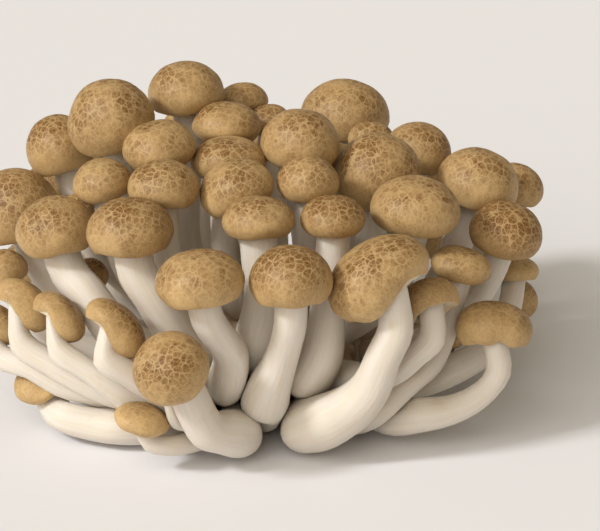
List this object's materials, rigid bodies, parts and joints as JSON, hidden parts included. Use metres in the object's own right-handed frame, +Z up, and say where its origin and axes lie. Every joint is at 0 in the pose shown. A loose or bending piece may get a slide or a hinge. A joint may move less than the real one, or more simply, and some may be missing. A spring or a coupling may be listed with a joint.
{
  "type": "beech mushroom cluster",
  "caption": "Clump of small gilled mushrooms with marbled tan caps on thick white stems, grown from one cut base that it stands on.",
  "frame": {"origin": "on the ground at the middle of the clump's outline, inside the cut face of the base", "axes": "+Z up as the clump stands and grows; -Y is the side with the long swept stems; +X to the right seen from that side"},
  "size_m": [0.1292, 0.1234, 0.0717],
  "materials": {
    "cap_skin": "satin tan skin, marbled with darker brown cells inside a pale net",
    "stem_flesh": "matt cream-white flesh with fine lengthwise fibres",
    "gills": "matt cream, thin close blades",
    "cut_base": "matt cream flesh, browned and dry at the cut"
  },
  "bodies": {
    "root": {"crown_01": "cap_skin", "crown_02": "cap_skin", "crown_03": "cap_skin", "crown_04": "cap_skin", "crown_05": "cap_skin", "crown_06": "cap_skin", "crown_07": "cap_skin", "crown_08": "cap_skin", "crown_09": "cap_skin", "crown_10": "cap_skin", "crown_11": "cap_skin", "crown_12": "cap_skin", "crown_13": "cap_skin", "crown_14": "cap_skin", "front_01": "cap_skin", "front_02": "cap_skin", "front_03": "cap_skin", "front_04": "cap_skin", "front_05": "cap_skin", "front_06": "cap_skin", "front_07": "cap_skin", "front_08": "cap_skin", "front_09": "cap_skin", "front_10": "cap_skin", "front_11": "cap_skin", "front_12": "cap_skin", "front_13": "cap_skin", "left_01": "cap_skin", "left_02": "cap_skin", "left_03": "cap_skin", "left_04": "cap_skin", "left_05": "cap_skin", "left_06": "cap_skin", "left_07": "cap_skin", "left_08": "cap_skin", "left_09": "cap_skin", "left_10": "cap_skin", "right_01": "cap_skin", "right_02": "cap_skin", "right_03": "cap_skin", "right_04": "cap_skin", "right_05": "cap_skin", "right_06": "cap_skin", "right_07": "cap_skin", "right_08": "cap_skin", "right_09": "cap_skin", "right_10": "cap_skin", "back_01": "cap_skin", "back_02": "cap_skin", "back_03": "cap_skin", "back_04": "cap_skin", "back_05": "cap_skin", "back_06": "cap_skin", "back_07": "cap_skin", "back_08": "cap_skin", "back_09": "cap_skin", "back_10": "cap_skin", "back_11": "cap_skin", "back_12": "cap_skin", "stump": "cut_base"}
  },
  "joints": []
}
